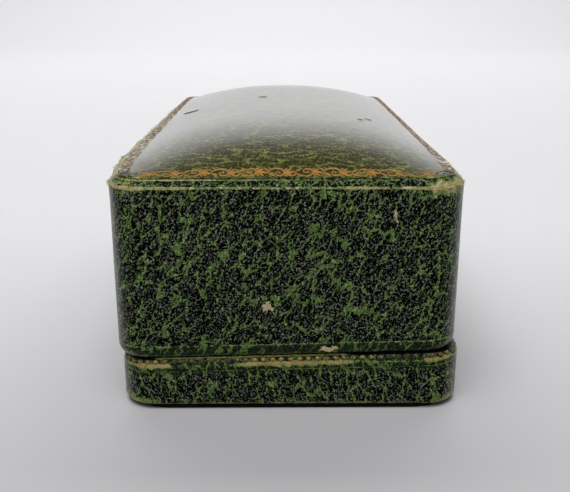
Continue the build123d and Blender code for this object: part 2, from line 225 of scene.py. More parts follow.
def in_hinge_slot(corners):
    """Whether a face lies where the leatherette is cut away round the hinge."""
    middle = sum((Vector(c) for c in corners), Vector()) / len(corners)
    return (middle.y > HALF_DEPTH - SLOT_REACH and abs(middle.x) < SLOT_HALF_LENGTH
            and abs(middle.z - HINGE.z) < SLOT_HALF_HEIGHT)


def drop_loose(piece):
    """Removes the points that no face uses."""
    work = bmesh.new()
    work.from_mesh(piece.data)
    bmesh.ops.delete(work, geom=[v for v in work.verts if not v.link_faces], context="VERTS")
    work.to_mesh(piece.data)
    work.free()


def thicken(piece, thickness, offset=-1):
    """Gives a skin its thickness, inward unless offset says otherwise."""
    solid = piece.modifiers.new("thickness", "SOLIDIFY")
    solid.thickness, solid.offset = thickness, offset


# ------------------------------ materials

class Shader:
    """A material's nodes, with short calls for the kinds used here. Its places are in millimetres."""

    def __init__(self, name):
        self.material = bpy.data.materials.new(name)
        self.material.use_nodes = True
        self.tree = self.material.node_tree
        self.surface = self.tree.nodes["Principled BSDF"]
        self.place = self.vector("SCALE", self.node("TexCoord", {}, "Object"), scale=1 / MM)

    def plug(self, socket, value):
        """Links a node's output to a socket, or sets the socket's own value."""
        if isinstance(value, bpy.types.NodeSocket):
            self.tree.links.new(value, socket)
        else:
            socket.default_value = (*value, 1) if socket.type == "RGBA" else value

    def node(self, kind, inputs, output=0, **settings):
        """A new node's output, with its inputs plugged by name or number."""
        node = self.tree.nodes.new("ShaderNode" + kind)
        for key, value in settings.items():
            setattr(node, key, value)
        for key, value in inputs.items():
            if value is not None:
                self.plug(node.inputs[key], value)
        return node.outputs[output]

    def vector(self, operation, a, b=None, scale=None):
        output = "Value" if operation == "DOT_PRODUCT" else "Vector"
        return self.node("VectorMath", {0: a, 1: b, "Scale": scale}, output, operation=operation)

    def math(self, operation, a, b=0.0):
        return self.node("Math", {0: a, 1: b}, operation=operation)

    def add(self, a, b):
        return self.math("ADD", a, b)

    def times(self, a, b):
        return self.math("MULTIPLY", a, b)

    def inverse(self, value):
        """1 less the value."""
        return self.math("SUBTRACT", 1.0, value)

    def ramp(self, value, low, high, start=0.0, end=1.0):
        """Goes smoothly from start, where value is low, to end, where it is high."""
        inputs = {"Value": value, "From Min": low, "From Max": high, "To Min": start, "To Max": end}
        return self.node("MapRange", inputs, "Result", interpolation_type="SMOOTHSTEP")

    def noise(self, scale, detail=2.0, roughness=0.5, distortion=0.0, place=None, output="Fac"):
        inputs = {"Vector": place or self.place, "Scale": scale, "Detail": detail, "Roughness": roughness,
                  "Distortion": distortion}
        return self.node("TexNoise", inputs, output)

    def jitter(self, scale, amount):
        """A small shift of place, different everywhere."""
        shift = self.vector("SUBTRACT", self.noise(scale, output="Color"), (0.5, 0.5, 0.5))
        return self.vector("SCALE", shift, scale=amount)

    def cracks(self, place, scale):
        """Distance from the edges between cells."""
        return self.node("TexVoronoi", {"Vector": place, "Scale": scale}, "Distance", feature="DISTANCE_TO_EDGE")

    def ridges(self, place, scale, distortion):
        """Thin winding lines: 1 along them, falling to 0 between."""
        level = self.math("SUBTRACT", self.noise(scale, 0.0, 0.5, distortion, place), 0.5)
        return self.inverse(self.times(self.math("ABSOLUTE", level), 4.0))

    def mix(self, factor, a, b):
        return self.node("Mix", {"Factor": factor, "A": a, "B": b}, "Result", data_type="RGBA")

    def attribute(self, name):
        return self.node("Attribute", {}, "Fac", attribute_name=name)

    def stretched(self, factor, along=(1, 0, 0), across=(0, 1, 0), place=None):
        """Places stretched along one direction, so that what is drawn there runs that way."""
        first = Vector(along).normalized()
        second = (Vector(across) - first * first.dot(Vector(across))).normalized()
        axes = enumerate((first / factor, second, first.cross(second)))
        return self.node("CombineXYZ", {i: self.vector("DOT_PRODUCT", place or self.place, tuple(axis))
                                        for i, axis in axes})

    def bump(self, height, depth):
        """Relief from a height of 0 to 1, depth metres deep."""
        self.plug(self.surface.inputs["Normal"], self.node("Bump", {"Height": height, "Distance": depth}))

    def finish(self, colour, roughness, **others):
        """Sets the shader's inputs, from nodes or to one value, and gives the material."""
        for key, value in {"Base_Color": colour, "Roughness": roughness, **others}.items():
            self.plug(self.surface.inputs[key.replace("_", " ")], value)
        return self.material


LID_LEAN, BASE_LEAN, CROWN_LEAN = (0.3, 0.60, 1.0), (0.3, -0.35, 1.0), (0.2, 1.0, 0.1)
# The light worm tones stand both for thin glaze on the raised grain and for painted highlight on it.
WALL_TONES = {"ground": ((0.0002, 0.0006, 0.0002), (0.0012, 0.0026, 0.0010)),
              "green": ((0.055, 0.112, 0.024), (0.155, 0.24, 0.065)),
              "worm_and_glint": ((0.23, 0.265, 0.19), (0.34, 0.47, 0.18))}
CROWN_TONES = {"ground": ((0.018, 0.018, 0.002), (0.044, 0.041, 0.006)),
               "green": ((0.070, 0.098, 0.013), (0.18, 0.20, 0.040)),
               "worm_and_glint": ((0.15, 0.15, 0.05), (0.31, 0.32, 0.10))}
TOOLED_GROUND = ((0.004, 0.010, 0.004), (0.020, 0.034, 0.014))
RUBBED_GREEN = ((0.05, 0.12, 0.015), (0.33, 0.43, 0.13))
CREAM_PAPER = ((0.53, 0.39, 0.125), (0.77, 0.67, 0.35))
OCHRE_PAPER = ((0.37, 0.175, 0.022), (0.50, 0.33, 0.10))
# The last colour on the next line is near-black painted shade, used on the base's lip and on the sheet under the
# foot.
PAPER_SHADE, PAPER_LIGHT, PAINTED_SHADE_BLACK = (0.10, 0.07, 0.015), (0.95, 0.90, 0.60), (0.002, 0.002, 0.001)
VEIN_SHARE, PATCH_SHARE, RAGGED_SHARE = 0.80, 0.66, 0.42    # what thins the glaze, and by how much
THIN_AT, RUBBED_AT, BARE_AT = (1.22, 1.31), (0.30, 0.46), (0.60, 0.66)      # where each sets in
MOST_WORN = 0.74


def glaze(s, lean, tones):
    """The leatherette's unworn colour, and where it is thin and where a worm is raised; the worms are lighter both
    as thin glaze and as painted highlight.
    """
    jitter = s.jitter(1.3, 0.8)
    leaning = {"along": lean, "across": (1, 0, 0)}
    drawn = s.stretched(3.4, place=s.vector("ADD", s.place, jitter), **leaning)
    veins = s.times(s.inverse(s.ramp(s.cracks(drawn, 0.80), 0.0, 0.26)),
                    s.ramp(s.noise(0.8), 0.35, 0.60, 0.86, 1.06))
    patchy = s.noise(1.8, 2.0, 0.6, place=s.stretched(4.0, **leaning))
    ragged = s.noise(4.2, 2.0, 0.6)
    tooled = s.attribute("tooled")
    mottle = s.add(s.times(patchy, PATCH_SHARE), s.times(ragged, RAGGED_SHARE))
    amount = s.add(s.add(s.times(veins, VEIN_SHARE), mottle), s.times(tooled, 0.02))
    thin = s.ramp(amount, *THIN_AT)
    threads = s.stretched(1.55, place=s.vector("ADD", s.place, s.vector("SCALE", jitter, scale=0.25)), **leaning)
    # Raised worms: lighter where the glaze is thin, and painted highlight on the grain's ridges.
    worms_and_glints = s.times(s.ramp(s.ridges(threads, 3.8, 0.5), 0.64, 0.90), s.ramp(s.noise(3.3, 1.0), 0.43, 0.55))
    worms_and_glints = s.times(worms_and_glints, s.inverse(s.times(tooled, 0.70)))
    tone = s.noise(0.8, 2.0, 0.6)
    ground = s.mix(s.times(tooled, 0.8), s.mix(tone, *tones["ground"]), s.mix(tone, *TOOLED_GROUND))
    glazed = s.mix(thin, ground, s.mix(s.ramp(ragged, 0.35, 0.7), *tones["green"]))
    return s.mix(worms_and_glints, glazed, s.mix(thin, *tones["worm_and_glint"])), thin, worms_and_glints


def leatherette(name, lean, tones, paper, polish=0.01, grain=1.0, varnish=0.0):
    """Embossed leatherette: a near-black glaze over green, thin along slanting veins and at every raised worm,
    which also carries painted highlight.

    Its attribute for wear and shade rises through rubbed green to bare paper, and below 0 it is painted black as
    shade. polish is its gloss seen straight on, grain the depth of its relief, and varnish the coat's weight seen
    from the side.
    """
    s = Shader(name)
    colour, thin, worms_and_glints = glaze(s, lean, tones)
    wear = s.attribute("wear")
    worn = s.math("MINIMUM", wear, MOST_WORN)
    tatter = s.add(worn, s.times(s.math("SUBTRACT", s.noise(1.9, 5.0, 0.72), 0.5), 2.0))
    rubbed = s.times(s.ramp(tatter, *RUBBED_AT), s.ramp(worn, 0.0, 0.12))
    bare = s.times(s.ramp(tatter, *BARE_AT), s.ramp(worn, 0.15, 0.35))
    fibre = s.noise(6.0, 3.0, 0.7)
    straw = s.mix(s.ramp(s.noise(0.5), 0.4, 0.6), *paper)
    colour = s.mix(rubbed, colour, s.mix(fibre, *RUBBED_GREEN))
    colour = s.mix(bare, colour, s.mix(fibre, s.mix(0.6, straw, PAPER_SHADE), s.mix(0.28, straw, PAPER_LIGHT)))
    # Painted shade: where the attribute is below 0 the colour goes near-black.
    colour = s.mix(s.ramp(wear, -0.8, -0.1, 1.0, 0.0), colour, PAINTED_SHADE_BLACK)
    rough = s.mix(bare, s.mix(s.noise(0.6), (0.26,) * 3, (0.38,) * 3), (0.85,) * 3)
    relief = s.times(s.add(s.times(worms_and_glints, 0.6), s.times(thin, 0.35)), s.inverse(bare))
    s.bump(s.add(relief, s.times(bare, s.add(-0.5, s.times(fibre, 0.6)))), 0.05 * MM * grain)
    turned = s.node("LayerWeight", {}, "Facing")
    gloss = {"Specular_IOR_Level": s.ramp(turned, 0.28 + 0.12 * varnish, 0.88, polish, 1.0)}
    if varnish:
        gloss["Coat_Weight"] = s.ramp(turned, 0.52, 0.88, 0.05 * varnish, varnish)
    return s.finish(colour, rough, Coat_Roughness=0.14, **gloss)


def fibrous(name, dark, light, roughness, depth, pattern, stretch=None, **others):
    """A matt material of two mottled tones: raw torn board, grey card, a near-black painted contact shadow, or a
    dark scratch.
    """
    s = Shader(name)
    fibre = s.noise(*pattern, place=s.stretched(*stretch) if stretch else None)
    s.bump(fibre, depth)
    return s.finish(s.mix(fibre, dark, light), roughness, **others)


def gilt(name, rub, dull, bright):
    """Stamped gold leaf, rubbed through to the dark leatherette in places."""
    s = Shader(name)
    rubbed = s.add(s.noise(3.2, 4.0, 0.7), s.times(s.attribute("wear"), 0.3))
    tone = s.noise(1.4)
    gone = s.ramp(rubbed, rub, rub + 0.09)
    s.bump(rubbed, 0.03 * MM)
    colour = s.mix(gone, s.mix(tone, dull, bright), (0.03, 0.03, 0.010))
    return s.finish(colour, s.ramp(tone, 0.2, 0.8, 0.38, 0.6), Metallic=s.times(s.inverse(gone), 0.5))


def brass():
    """Thin rolled brass, tarnished brown in the hollows and faintly scratched along its length."""
    s = Shader("aged_brass")
    cloud = s.noise(0.16, 5.0, 0.55)
    lines = s.noise(5.0, place=s.stretched(14.0))
    colour = s.mix(s.ramp(cloud, 0.35, 0.75), (0.74, 0.52, 0.23), (0.42, 0.26, 0.09))
    s.bump(s.add(s.times(lines, 0.6), s.times(cloud, 0.4)), 0.015 * MM)
    return s.finish(colour, s.ramp(cloud, 0.3, 0.7, 0.24, 0.5), Metallic=1.0)


def steel(name, light, dark):
    """Drawn or rolled steel with fine lines along it."""
    s = Shader(name)
    lines = s.noise(4.0, 3.0, place=s.stretched(12.0))
    s.bump(lines, 0.01 * MM)
    return s.finish(s.mix(lines, dark, light), s.ramp(lines, 0.2, 0.8, 0.25, 0.42), Metallic=1.0)


def wood():
    """Plain pale softwood with its grain along the box."""
    s = Shader("softwood")
    rings = s.noise(0.9, 3.0, 0.6, 1.2, s.stretched(9.0))
    pores = s.noise(6.0, place=s.stretched(20.0))
    colour = s.mix(s.ramp(rings, 0.35, 0.65), (0.62, 0.43, 0.24), (0.42, 0.26, 0.13))
    s.bump(pores, 0.04 * MM)
    return s.finish(s.mix(s.ramp(pores, 0.55, 0.7), colour, (0.30, 0.18, 0.09)), 0.7)


def velvet():
    """Cream velvet: a short pile that lightens at the sides of each swell."""
    s = Shader("cream_velvet")
    pile = s.noise(7.0, 3.0, 0.7)
    crushed = s.noise(0.35, 3.0, 0.6, 0.5)
    colour = s.mix(s.ramp(crushed, 0.25, 0.75), (0.60, 0.49, 0.33), (0.72, 0.62, 0.45))
    s.bump(s.add(s.times(pile, 0.7), s.times(crushed, 0.6)), 0.12 * MM)
    return s.finish(s.mix(s.times(pile, 0.35), colour, (0.36, 0.27, 0.16)), 0.88, Sheen_Weight=0.7,
                    Sheen_Roughness=0.35, Sheen_Tint=(1.0, 0.94, 0.82), Specular_IOR_Level=0.2)


def satin():
    """Ivory satin: fine weave along the box and a soft sheen across it."""
    s = Shader("ivory_satin")
    weave = s.noise(9.0, place=s.stretched(7.0))
    colour = s.mix(s.ramp(s.noise(0.25, 3.0, 0.6), 0.35, 0.7), (0.80, 0.72, 0.56), (0.68, 0.57, 0.39))
    s.bump(weave, 0.02 * MM)
    return s.finish(colour, s.ramp(weave, 0.2, 0.8, 0.30, 0.46), Anisotropic=0.5, Sheen_Weight=0.25,
                    Specular_IOR_Level=0.6)


LEATHER = leatherette("green_leatherette", LID_LEAN, WALL_TONES, CREAM_PAPER)
BASE_LEATHER = leatherette("green_base_leatherette", BASE_LEAN, WALL_TONES, OCHRE_PAPER)
CROWN_LEATHER = leatherette("green_crown_leatherette", CROWN_LEAN, CROWN_TONES, CREAM_PAPER,
                            polish=0.06, grain=0.6, varnish=0.88)
RAW = fibrous("raw_board", (0.29, 0.22, 0.085), (0.82, 0.71, 0.43), 0.9, 0.05 * MM, (5.0, 4.0, 0.7),
              (3.0, (1, 0.4, 0), (0, 0, 1)))
# The first is a near-black painted contact shadow for the sheet under the foot; the second is for grey scratch
# marks.
CONTACT_SHADOW_BLACK, SCRATCH_STAIN = [
    fibrous(name, dark, light, 0.8, 0.02 * MM, (2.0, 3.0), Specular_IOR_Level=0.1) for name, dark, light in (
        ("painted_contact_shadow", PAINTED_SHADE_BLACK, (0.010, 0.009, 0.006)),
        ("scratch_stain", (0.055, 0.058, 0.050), (0.120, 0.122, 0.112)))]
BORDER_GILT = gilt("border_gilt", 0.68, (0.31, 0.15, 0.028), (0.57, 0.31, 0.07))
BEAD_GILT = gilt("bead_gilt", 0.60, (0.24, 0.155, 0.05), (0.52, 0.36, 0.14))
VELVET, SATIN = velvet(), satin()
NODE_MATERIALS = {
    "leatherette": LEATHER, "crown_leatherette": CROWN_LEATHER, "wood": wood(), "brass": brass(),
    "steel": steel("drawn_steel", (0.62, 0.61, 0.59), (0.38, 0.37, 0.36)),
    "spring_steel": steel("spring_steel", (0.30, 0.31, 0.34), (0.14, 0.15, 0.18)),
    "velvet": VELVET, "satin": SATIN,
    "card": fibrous("grey_card", (0.30, 0.25, 0.19), (0.56, 0.50, 0.41), 0.92, 0.05 * MM, (3.0, 5.0, 0.75)),
}
for part in frame["record"]["subparts"]:
    node = frame["nodes"][part["node"]]
    node.data.materials.clear()
    node.data.materials.append(NODE_MATERIALS[part["material_slot"]])


# ------------------------------ leatherette skins

def band(value, centre, width):
    """1 at centre, falling smoothly to 0 a width away."""
    return max(0.0, 1 - ((value - centre) / width) ** 2) ** 2


def strip(value, centre, width):
    """As band, with steep sides."""
    return min(1.0, 1.9 * band(value, centre, width))


def drift(*place, scale=1.0, seed=0.0):
    """Slow noise of about -1 to 1 at a place in millimetres."""
    return noise.noise(Vector(place) * scale + Vector((seed, -seed, 3.1 * seed)))


def uneven(x, y, scale, seed, layer=0):
    """Slow noise of about -1 to 1 over the case."""
    return drift(x / MM, y / MM, layer, scale=scale, seed=seed)


def patchy(x, y, scale, seed, layer=0):
    """Slow noise of about 0 to 1 over the case."""
    return 0.5 + 0.5 * uneven(x, y, scale, seed, layer)


def at_end(x, y, low, high, edge=1.2):
    """1 on the +X end between two depths in millimetres, falling to 0 outside them."""
    if x < HALF_LENGTH - CORNER:
        return 0.0
    return clamp(min(y - low * MM, high * MM - y) / (edge * MM) + 0.5)


def worn_places(x, y, places, edge=1.2):
    """The most worn of some places on the +X end, each (from, to, how worn)."""
    return max(amount * at_end(x, y, low, high, edge) for low, high, amount in places)


def corner_share(x, y):
    """1 in the middle of an upright corner, and 0 on the flat sides."""
    reach = CORNER * 1.3
    return max(0.0, 1 - (HALF_LENGTH - abs(x)) / reach) * max(0.0, 1 - (HALF_DEPTH - abs(y)) / reach)


def crown_corner(x, y):
    """As corner_share, on the crown, which is a little smaller than the case."""
    return corner_share(x * 1.02, y * 1.04)


def rounded_edge(start, end, bulge, count, follow=1, base=0.0):
    """Profile points from start to end, both (inset, height), bowed out by bulge."""
    (a, b), (c, d) = start, end
    run = math.hypot(c - a, d - b)
    found = []
    for i in range(count + 1):
        t = i / count
        out = bulge * math.sin(math.pi * t)
        height = b + (d - b) * t + out * (c - a) / run
        found.append((a + (c - a) * t - out * abs(d - b) / run, follow, base + height))
    return found


def between(start, end, count):
    """Profile points that part the way from start to end into count steps, without those two."""
    return [tuple(a + (b - a) * i / count for a, b in zip(start, end)) for i in range(1, count)]


def groove(middle, way):
    """A pressed line with a ridge in it, a distance over the seat (way 1) or under it (way -1)."""
    shape = ((-0.22, 0), (-0.14, 0.2), (-0.07, 1), (0, 0.15), (0.07, 1), (0.14, 0.2), (0.22, 0))
    return [(depth * GROOVE_DEPTH, 1, way * (middle + place * MM)) for place, depth in shape]


GROOVE_DEPTH = 0.07 * MM
HEM = 0.26 * MM              # how far the lid's leatherette hangs below its brass
LIFTED_REACH = 3.2 * MM      # how far from the ridge the long edges' leather has come away
LIFT_OUT, LIFT_UP = 0.72, 0.70
# How far it has come away, in millimetres, at places along the front edge and the back edge.
FRONT_LIFT = [(-41, 0.15), (-30, 0.45), (-10, 0.65), (10, 0.80), (25, 0.95), (35, 0.70), (39, 0.22), (42, 0.05),
              (44.5, 0.0)]
BACK_LIFT = [(-41, 0.1), (-20, 0.15), (15, 0.10), (28, 0.30), (35, 0.42), (39, 0.15), (42, 0.04), (44.5, 0.0)]
# Worn places on the +X end, at depths in millimetres: from, to, and how worn.
RIDGE_WORN = ((-20.5, -12, 0.85), (7.2, 10.8, 0.8), (14.5, 21, 0.9))
RIM_WORN = ((-20, -15.5, 1.0), (-7, 8.5, 1.0), (17, 21, 0.9))
BEADS_WORN = ((-16.5, -5.5, 0.95), (11.0, 19, 1.0))
# Green patches on the +X end, in millimetres: depth on the box, distance under the ridge, width and height.
RUBBED = [[number * MM for number in patch] for patch in (
    (-4.3, 1.0, 1.5, 0.8), (-18.5, 0.7, 2.2, 0.6), (-12.0, 0.6, 1.4, 0.6),
    (4.4, 0.8, 1.2, 0.7), (10.2, 0.7, 1.6, 0.6), (17.3, 0.9, 1.9, 0.8))]


def lifted(x, y, z):
    """Where a point of the lid's leatherette lies now: along both long edges it has come away, outward and up."""
    side = math.copysign(1.0, y)
    near = max(0.0, 1 - (HALF_DEPTH - abs(y)) / LIFTED_REACH)
    near *= max(0.0, 1 - max(0.0, RIDGE_Z - z) / LIFTED_REACH)
    if near == 0:
        return x, y, z
    places, sizes = zip(*(BACK_LIFT if side > 0 else FRONT_LIFT))
    amount = float(np.interp(x / MM, places, sizes)) * (1 + 0.35 * drift(x / MM, side, 0, scale=0.23, seed=31))
    amount *= MM * near ** 1.5
    return x, y + side * LIFT_OUT * amount, z + LIFT_UP * amount


def lid_walls():
    """Leatherette from the brass up round the lid's walls and over the ridge to the crown's border."""
    turned = 0.12 * MM       # inset where the rounded ridge ends and the flat bevel starts
    bevel = (turned, 0, RIDGE_Z + turned - 0.03 * MM), (BEVEL, 0, RIDGE_Z + BEVEL - 0.03 * MM)
    groove_at = 1.45 * MM
    profile = [(0.9 * MM, 1, 0.3 * MM), (0.88 * MM, 1, 0.0)]
    profile += rounded_edge((0.40 * MM, -HEM), (0, RIM_DOWN - 0.1 * MM), 0.12 * MM, 8)
    profile += [(0, 1, 1.10 * MM), *groove(groove_at, 1)]
    profile += between((0, 1, 1.85 * MM), (0, 0, RIDGE_Z - 0.35 * MM), 16)
    profile += rounded_edge((0, -0.3 * MM), (turned, 0.09 * MM), 0.03 * MM, 4, follow=0, base=RIDGE_Z)
    profile += [*between(*bevel, 6), bevel[1], (BEVEL + 0.25 * MM, 0, CREASE_Z - 0.05 * MM)]

    end = distances(profile, "lid")[-1]
    ridge = end - (BEVEL - turned) * math.sqrt(2) - 0.35 * MM
    line = groove_at + 0.93 * MM     # how far down the profile the groove is

    def wear(x, y, down):
        """Worn along the ridge, most at the corners and along the sides, and a little at the foot."""
        corner, along, broken = corner_share(x, y), patchy(x, y, 0.16, 4), patchy(x, y, 0.30, 24)
        sides = 0.95 if x < HALF_LENGTH - CORNER else 0.0
        worst = max(corner, worn_places(x, y, RIDGE_WORN), sides * (0.5 + 0.5 * along))
        worst *= 1 + 0.55 * uneven(x, y, 1.1, 21)
        spread = 0.34 if sides else 0.12 + (0.8 if y > 0 else 0.5) * corner
        edge = 0.50 + 0.40 * worst + 0.22 * along * (0.4 + sides)
        crease = 0.26 + 0.40 * broken + 0.45 * at_end(x, y, -19.5, -9)
        foot = 0.30 * along + 0.3 * corner + 0.45 * at_end(x, y, -18, 7)
        torn = (0.70 if x > 0 and y > 0 else 0.40) * min(1.0, 3.0 * corner)
        frayed = (0.66 + 0.20 * along) * sides
        rubbed = 0.52 * max(band(y, at, wide) * band(down, ridge - under, tall)
                            for at, under, wide, tall in RUBBED)
        return max(edge * strip(down, ridge, 0.82 * (0.24 + spread * worst) * MM),
                   crease * strip(down, end - 0.42 * MM, 0.12 * MM),
                   (0.36 + 0.28 * broken) * band(down, line, 0.17 * MM),
                   foot * band(down, 0.75 * MM, 0.3 * MM),
                   torn * band(down, ridge + 0.5 * MM, 1.5 * MM),
                   frayed * band(down, ridge + 0.5 * MM, 1.1 * MM),
                   rubbed if x > 0 else 0.0)

    skin = sweep("lid_wall_leather", profile, "lid", LEATHER, wear, 2.3 * MM, (0, 9), lifted)
    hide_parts("lid_wall_cover")


def base_walls():
    """Leatherette round the base, from the brass over the bevelled rim and down round the foot."""
    round_foot = 0.6 * MM
    inside = [(1.45 * MM, 1, 0.02 * MM), (1.43 * MM, 1, 0.09 * MM), (0.88 * MM, 1, 0.08 * MM)]
    rim_edge = rounded_edge((RIM_IN, 0), (0.02 * MM, -RIM_DOWN), -0.10 * MM, 8)
    profile = [*inside, *rim_edge, (0, 1, -1.49 * MM), *groove(1.9 * MM, -1)]
    profile += between((0, 1, -2.3 * MM), (0, 0, HEEL_Z + 1.1 * MM), 8)
    for i in range(9):
        angle = math.radians(90 * i / 8)
        profile.append((round_foot * (1 - math.cos(angle)), 0, HEEL_Z + round_foot * (1 - math.sin(angle))))
    profile += [(inset * MM, 0, HEEL_Z) for inset in (1.5, 2.2, 3.0)]

    walked = distances(profile, "base")
    lip = walked[len(inside)] + 0.34 * MM
    rim = walked[len(inside) + len(rim_edge) - 1]
    heel = next(d for d, (_, follow, height) in zip(walked, profile)
                if follow == 0 and height < HEEL_Z + 0.4 * MM)

    def wear(x, y, down):
        """Worn where the rim meets the wall and round the foot, most at the corners. The lip is painted black as
        shade under the lid's hem.
        """
        if down < lip:
            brown = 0.74 * at_end(x, y, -17.5, 7.5) * band(down, lip - 0.10 * MM, 0.22 * MM)
            # Below 0 is painted shade: the lip goes black, save the brown worn line on the +X end.
            return brown if brown > 0.3 else -1.0
        corner, along = corner_share(x, y), patchy(x, y, 0.2, 2, layer=1)
        nibbled = 1 + 0.6 * uneven(x, y, 0.9, 22)
        rim_worn = nibbled * max(worn_places(x, y, RIM_WORN), 0.8 * corner)
        worst = max(rim_worn, 0.0 if x > HALF_LENGTH - CORNER else 0.55 * along)
        gnawed = 0.27 * MM * uneven(x, y, 1.5, 25)
        heel_worn = max(1.3 * corner, 0.62 * along) * nibbled
        return max((0.36 + 0.48 * worst) * strip(down, rim + gnawed, 0.85 * (0.18 + 0.34 * worst) * MM),
                   (0.30 + 0.34 * along) * band(down, rim + 0.80 * MM, 0.15 * MM),
                   heel_worn * band(down, heel, (0.35 + 0.5 * corner) * MM))

    skin = sweep("base_leather", profile, "base", BASE_LEATHER, wear, rim + 1.0 * MM, (5, 1))
    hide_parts("base_cover")


def foot_shadow_sheet():
    """A near-black sheet just inside the foot's edge, standing in as painted shadow where the box meets the floor.
    """
    def drawn_in(x, y, z):
        """Where a point lies, as the painted shadow sheet draws in at the corners."""
        share = corner_share(x, y)
        return x * (1 - 0.030 * share), y * (1 - 0.055 * share), z

    shadow_sheet_profile = [(2.9 * MM, 0, 0.02 * MM), (0.42 * MM, 0, 0.02 * MM), (0.37 * MM, 0, 0.06 * MM),
                    (0.37 * MM, 0, HEEL_Z - 0.05 * MM), (0.55 * MM, 0, HEEL_Z + 0.12 * MM)]
    # Painted contact shadow: a near-black strip swept round just inside the foot's edge.
    sheet = sweep("foot_shadow_sheet", shadow_sheet_profile, "base", CONTACT_SHADOW_BLACK, lambda *_: 0.0, 4 * MM, lift=drawn_in)


def crown():
    """The pillow on the lid, its sheet cut off raw at the border."""
    half_x, half_y, radius = HALF_LENGTH - BEVEL, HALF_DEPTH - BEVEL, CORNER - BEVEL

    def spread(count, half):
        """Positions from -half to half, closer together towards both ends."""
        shares = [2 * i / (count - 1) - 1 for i in range(count)]
        return [half * (0.35 * math.sin(math.pi / 2 * t) + 0.65 * t) for t in shares]

    def rounded(x, y):
        """Moves a point of the square-cornered plan inside the rounded corners."""
        p, q = (abs(x) - half_x + radius) / radius, (abs(y) - half_y + radius) / radius
        if p <= 0 or q <= 0:
            return x, y
        p, q = p * math.sqrt(1 - q * q / 2), q * math.sqrt(1 - p * p / 2)
        return math.copysign(half_x - radius + radius * p, x), math.copysign(half_y - radius + radius * q, y)

    xs, ys = spread(181, half_x), spread(101, half_y)
    vertices, worn = [], []
    for x, y in [rounded(x, y) for x in xs for y in ys]:
        border = min(half_x - abs(x), half_y - abs(y))
        swell = 0.06 * MM * clamp(border / (6 * MM)) * uneven(x, y, 0.07, 5)
        x_now, y_now, z_now = lifted(x, y, crown_z(x, y) + swell)
        vertices.append((x_now, y_now + LID_Y, z_now))
        edge = border + 0.16 * MM * uneven(x, y, 0.8, 8)
        long_side = abs(y) > half_y - 2.5 * MM and abs(x) < half_x - 2 * MM
        amount, reach = (0.72, 1.3 * MM) if long_side else (0.40, 0.34 * MM)
        cut = (0.28 + 0.30 * uneven(x, y, 0.45, 23)) * band(border, 0, 0.06 * MM)
        corner = 0.75 * crown_corner(x, y) * band(edge, 0, 1.5 * MM)
        worn.append(max(cut, amount * band(edge, 0, reach) + corner))
    faces = [(a, d, c, b) for a, b, c, d in grid(len(xs), len(ys), closed=False)]
    sheet = mesh_object("crown_leather", vertices, faces, "lid", CROWN_LEATHER, wear=worn)
    thicken(sheet, SKIN)
    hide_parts("lid_top_cover")


# ------------------------------ gilding and beading

BAND_MIDDLE = 0.86 * MM      # from the crease to the middle of the gilt band
BAND_SPREAD = 1.16           # how much wider than drawn the scrolls are across the band
SCROLL = 3.43 * MM           # length of one scroll and its leaf
SCROLL_PHASE = -1.9 * MM     # where one scroll starts, from the middle of the +X end
BORDER_STRAIGHTS = (2 * (HALF_DEPTH - CORNER), 2 * (HALF_LENGTH - CORNER)) * 2
BORDER_BEND = math.pi / 2 * (CORNER - BEVEL - BAND_MIDDLE)
BORDER_LENGTH = sum(BORDER_STRAIGHTS) + 4 * BORDER_BEND


def border_point(along, inward):
    """The place at a distance along the gilt band, and so far in from the crease.

    Distances start at the middle of the +X end and run towards +Y. Complex numbers, x + yj, are places.
    """
    radius = CORNER - BEVEL - inward
    along = (along + BORDER_STRAIGHTS[0] / 2) % BORDER_LENGTH
    centre, out = complex(HALF_LENGTH - CORNER, HALF_DEPTH - CORNER), 1 + 0j
    for straight in BORDER_STRAIGHTS:
        if along < straight + BORDER_BEND:
            break
        along -= straight + BORDER_BEND
        centre, out = complex(-centre.real, centre.imag) if out.real else centre, out * 1j
        centre = complex(centre.real, -centre.imag) if out.real else centre
    turn = max(0.0, along - straight) / BORDER_BEND * math.pi / 2
    back = out * 1j * min(0.0, along - straight)
    place = centre + out * complex(math.cos(turn), math.sin(turn)) * radius + back
    return place.real, place.imag


def smooth_path(points, steps=5):
    """A Catmull-Rom curve through points, each a tuple of numbers."""
    path = []
    padded = [points[0], *points, points[-1]]
    for a, b, c, d in zip(padded, padded[1:], padded[2:], padded[3:]):
        for i in range(steps):
            t = i / steps
            path.append(tuple(0.5 * (2 * q + (r - p) * t + (2 * p - 5 * q + 4 * r - s) * t * t
                                     + (3 * q - p - 3 * r + s) * t ** 3) for p, q, r, s in zip(a, b, c, d)))
    return path + [points[-1]]


